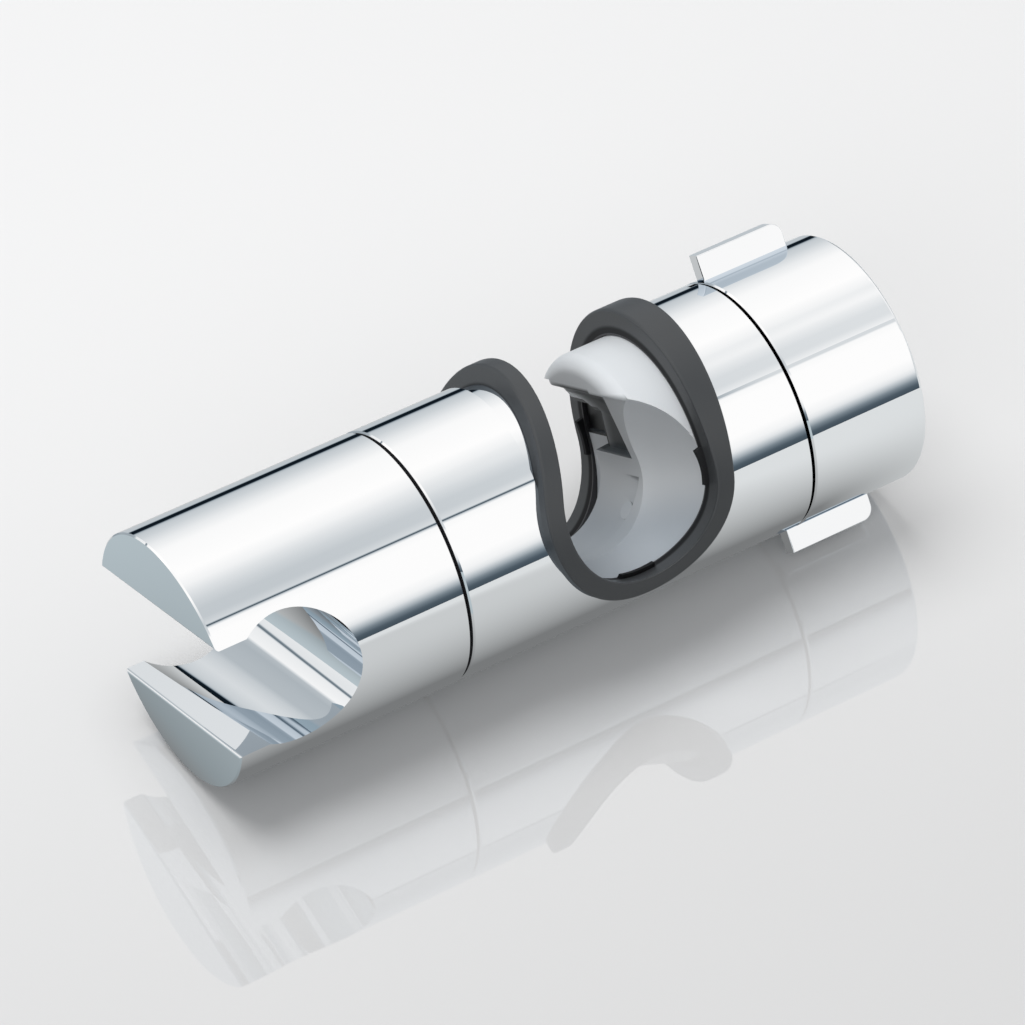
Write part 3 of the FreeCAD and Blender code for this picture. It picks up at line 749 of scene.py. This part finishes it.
def flatSheet(name, left, right, front, back, height, material):
    mesh = bpy.data.meshes.new(name)
    corners = ((left, front), (right, front), (right, back), (left, back))
    mesh.from_pydata([(x, y, height) for x, y in corners], [], [(0, 1, 2, 3)])
    mesh.materials.append(material)
    sheet = bpy.data.objects.new(name, mesh)
    bpy.context.scene.collection.objects.link(sheet)
    return sheet


def floorFinish():
    shade = floorShade
    material, shader = newMaterial("paleFloor")
    place = shader.place()
    cloud = shader.noise(place, shade["cloudScale"])
    # Painted shade: the floor darkens towards the front, down to nearLevel times pale
    depth = shader.along(place, "Y") + shader.along(place, "X") * shade["lean"]
    depth = depth.smooth(shade["near"], shade["far"])
    pale = shader.mixColour(cloud, grey(shade["pale"]), grey(shade["pale"] + shade["cloudSpread"]))
    nearer = grey(shade["pale"] * shade["nearLevel"])
    shader.surface({"Base Color": shader.mixColour(depth, nearer, pale), "IOR": shade["ior"],
                    "Roughness": shade["rough"]})
    return material


def tableFinish():
    # A glowing sheet seen only in the chrome: painted shadow makes it darker close round the
    # holder, and it is bluer past the fork's end
    shade = tableShade
    material, shader = newMaterial("paleTable")
    place = shader.place()
    x, y = shader.along(place, "X"), shader.along(place, "Y")
    lengthways = (abs(x - shade["middle"]) - shade["halfLength"]).atLeast(0.0)
    crossways = (abs(y) - shade["halfWidth"]).atLeast(0.0)
    distance = (lengthways ** 2 + crossways ** 2) ** 0.5
    pastEnd = 1 - x.smooth(shade["endTo"], shade["endFrom"])
    pastKnob = x.smooth(shade["farFrom"], shade["farTo"])
    bare = shade["level"] + (shade["endLevel"] - shade["level"]) * pastEnd
    bare = bare + (shade["farLevel"] - shade["level"]) * pastKnob
    depth = shade["depth"] + (shade["endDepth"] - shade["depth"]) * pastEnd
    shadow = depth * math.e ** (0 - distance / shade["reach"])
    hue = shader.mixColour(pastEnd, shade["hue"], shade["endHue"])
    level = shader.mixColour(bare * (1 - shadow), grey(0.0), hue)
    glow = shader.node("ShaderNodeEmission", {}, {"Color": shader.dimmed(level), "Strength": 1.0})
    shader.node("ShaderNodeOutputMaterial", {}, {"Surface": glow})
    return material


half = floorSize["half"]
floorHeight = lowest - floorSize["gap"]
wideFloor = flatSheet("wideFloor", -half, half, -half, half, floorHeight, floorFinish())
wideFloor.visible_glossy = False
shineTable = flatSheet("shineTable", floorSize["tableLeft"], floorSize["tableRight"],
                       floorSize["tableFront"], floorSize["tableBack"],
                       floorHeight - floorSize["sink"], tableFinish())
shineTable.visible_camera = False
shineTable.visible_diffuse = False
shineTable.visible_shadow = False

# What the chrome mirrors, as grey levels by the angle about the barrel: 0 is level behind, and
# 90 is straight up. Rays that lean towards the fork see leftLevels. Low ones are scaled by how
# far they lean (sideScale), and those above, by how far they lean to the knob (lift).
surround = {
    "start": -60.0,
    "levels": [(-60, 0.60), (-18, 0.58), (-16, 0.008), (-7.8, 0.01), (-4.8, 0.55), (-0.6, 0.63),
               (7, 0.69), (15, 0.79), (23, 0.90), (35, 0.99), (67, 1.03), (79, 0.93), (87, 0.79),
               (95, 0.68), (103, 0.60), (111, 0.595), (116.6, 0.69), (117.3, 0.70), (117.7, 0.01),
               (119.7, 0.01), (120.1, 0.98), (127, 1.02), (155, 1.02), (163.4, 0.94),
               (167.4, 0.82), (171.4, 0.52), (175.4, 0.23), (179.4, 0.10), (183, 0.08),
               (190, 0.10), (230, 0.30)],
    "leftLevels": [(-60, 0.30), (-36, 0.38), (-28, 0.5), (-20, 0.65), (-5, 0.6), (1, 0.65),
                   (7, 0.69), (15, 0.79), (23, 0.90), (35, 0.99), (67, 1.03), (87, 0.8),
                   (103, 0.62), (118, 0.72), (124, 1.0), (155, 1.02), (167, 0.82), (175, 0.25),
                   (183, 0.10), (230, 0.30)],
    "leftFrom": -0.05, "leftTo": 0.15, "lowFrom": 22.0, "lowTo": 40.0,
    "sideSpan": 0.7,
    "sideScale": [(-0.7, 1.3), (-0.515, 1.34), (-0.507, 0.3), (-0.497, 0.3), (-0.49, 1.34),
                  (-0.38, 1.32), (-0.345, 0.72), (-0.28, 0.62), (0.0, 0.63), (0.08, 0.76),
                  (0.2, 0.87), (0.3, 0.96), (0.5, 0.97)],
    "wedgeFrom": 0.44, "wedgeTo": 0.54, "wedgeDegrees": 6.0,
    "lineStart": 116.9, "lineEnd": 120.1, "lineFill": 0.72,
    "lineFadeFrom": 0.405, "lineFadeTo": 0.43,
    "lift": 0.3, "liftFrom": 80.0, "liftTo": 92.0, "liftEnd": 117.4,
    "liftLeft": 0.34, "liftRight": 0.46,
    "tintPowers": (1.14, 1.0, 0.9),
    "ambient": (0.80, 0.805, 0.815, 1), "ambientStrength": 0.62,
    "backdrop": (0.885, 0.895, 0.91, 1),
}


def turnShare(name):
    return (surround[name] - surround["start"]) / 360


def levelRamp(shader, turn, name):
    start = surround["start"]
    stops = [((degrees - start) / 360, grey(level)) for degrees, level in surround[name]]
    return shader.ramp(turn, stops)


def leanScale(shader, side):
    # A ramp holds no more than 1, so the scale goes through it halved
    span, scales = surround["sideSpan"], surround["sideScale"]
    stops = [((place + span) / (2 * span), grey(scale / 2)) for place, scale in scales]
    return shader.ramp((side + span) / (2 * span), stops) * 2


def sideShare(side, first, last):
    return side.smooth(surround[first], surround[last])


def mirroredLevel(shader):
    direction = shader.node("ShaderNodeTexCoord", output="Generated")
    side = shader.along(direction, "X")
    angle = shader.along(direction, "Z").angleFrom(shader.along(direction, "Y"))
    wedge = sideShare(side, "wedgeFrom", "wedgeTo") * (surround["wedgeDegrees"] / 360)
    turn = (angle / (2 * math.pi) + (1 - surround["start"] / 360) - wedge).fraction()
    right, left = levelRamp(shader, turn, "levels"), levelRamp(shader, turn, "leftLevels")
    level = shader.mixColour(sideShare(side, "leftFrom", "leftTo"), left, right)
    low = 1 - turn.smooth(turnShare("lowFrom"), turnShare("lowTo"))
    level = level * (1 + (leanScale(shader, side) - 1) * low)
    line = (turn > turnShare("lineStart")) * (turn < turnShare("lineEnd"))
    fill = line * sideShare(side, "lineFadeFrom", "lineFadeTo") * surround["lineFill"]
    band = turn.smooth(turnShare("liftFrom"), turnShare("liftTo")) * (turn < turnShare("liftEnd"))
    lift = band * sideShare(side, "liftLeft", "liftRight") * surround["lift"]
    level = level.atLeast(fill) * (1 + lift)
    tinted = {axis: level ** power for axis, power in zip("XYZ", surround["tintPowers"])}
    return shader.node("ShaderNodeCombineXYZ", {}, tinted)


def makeWorld():
    world = bpy.data.worlds.new("softStudio")
    world.use_nodes = True
    bpy.context.scene.world = world
    shader = Shader(world.node_tree)
    mirrored = shader.background(shader.dimmed(mirroredLevel(shader)))
    plain = shader.background(surround["ambient"], surround["ambientStrength"])
    behind = shader.background(surround["backdrop"])
    isGlossy = shader.node("ShaderNodeLightPath", output="Is Glossy Ray")
    isCamera = shader.node("ShaderNodeLightPath", output="Is Camera Ray")
    seen = shader.mixShader(isCamera, shader.mixShader(isGlossy, plain, mirrored), behind)
    shader.node("ShaderNodeOutputWorld", {}, {"Surface": seen})


makeWorld()

lamps = {
    "overheadLamp": {"place": (-0.15, 0.25, 1.1), "aim": (0, 0, 0), "size": 0.9, "power": 9.0},
    "frontLamp": {"place": (-0.9, -0.8, 0.7), "aim": (0, 0, 0), "size": 0.8, "power": 3.0},
}
for name, lamp in lamps.items():
    light = bpy.data.lights.new(name, "AREA")
    light.shape = "DISK"
    light.size = lamp["size"]
    light.energy = lamp["power"]
    holder = bpy.data.objects.new(name, light)
    holder.location = lamp["place"]
    toward = Vector(lamp["aim"]) - Vector(lamp["place"])
    holder.rotation_euler = toward.to_track_quat("-Z", "Y").to_euler()
    holder.visible_glossy = False
    holder.visible_camera = False
    bpy.context.scene.collection.objects.link(holder)
print("studio made")

camera = {"place": (-0.34824, -0.55395, 0.60054), "aim": (-0.00899, -0.00085, 0.0),
          "rollDegrees": -1.4925, "lens": 209.49, "sensor": 36.0, "near": 0.01, "far": 50.0}


def makeCamera():
    data = bpy.data.cameras.new("photoCamera")
    data.lens = camera["lens"]
    data.sensor_width = camera["sensor"]
    data.sensor_fit = "HORIZONTAL"
    data.clip_start, data.clip_end = camera["near"], camera["far"]
    eye = bpy.data.objects.new("photoCamera", data)
    toward = Vector(camera["aim"]) - Vector(camera["place"])
    turn = toward.to_track_quat("-Z", "Y").to_matrix().to_4x4()
    roll = Matrix.Rotation(math.radians(camera["rollDegrees"]), 4, "Z")
    eye.matrix_world = Matrix.Translation(camera["place"]) @ turn @ roll
    bpy.context.scene.collection.objects.link(eye)
    bpy.context.scene.camera = eye


makeCamera()
bpy.context.scene.view_settings.view_transform = "Standard"
print("camera made")

bpy.context.view_layer.update()
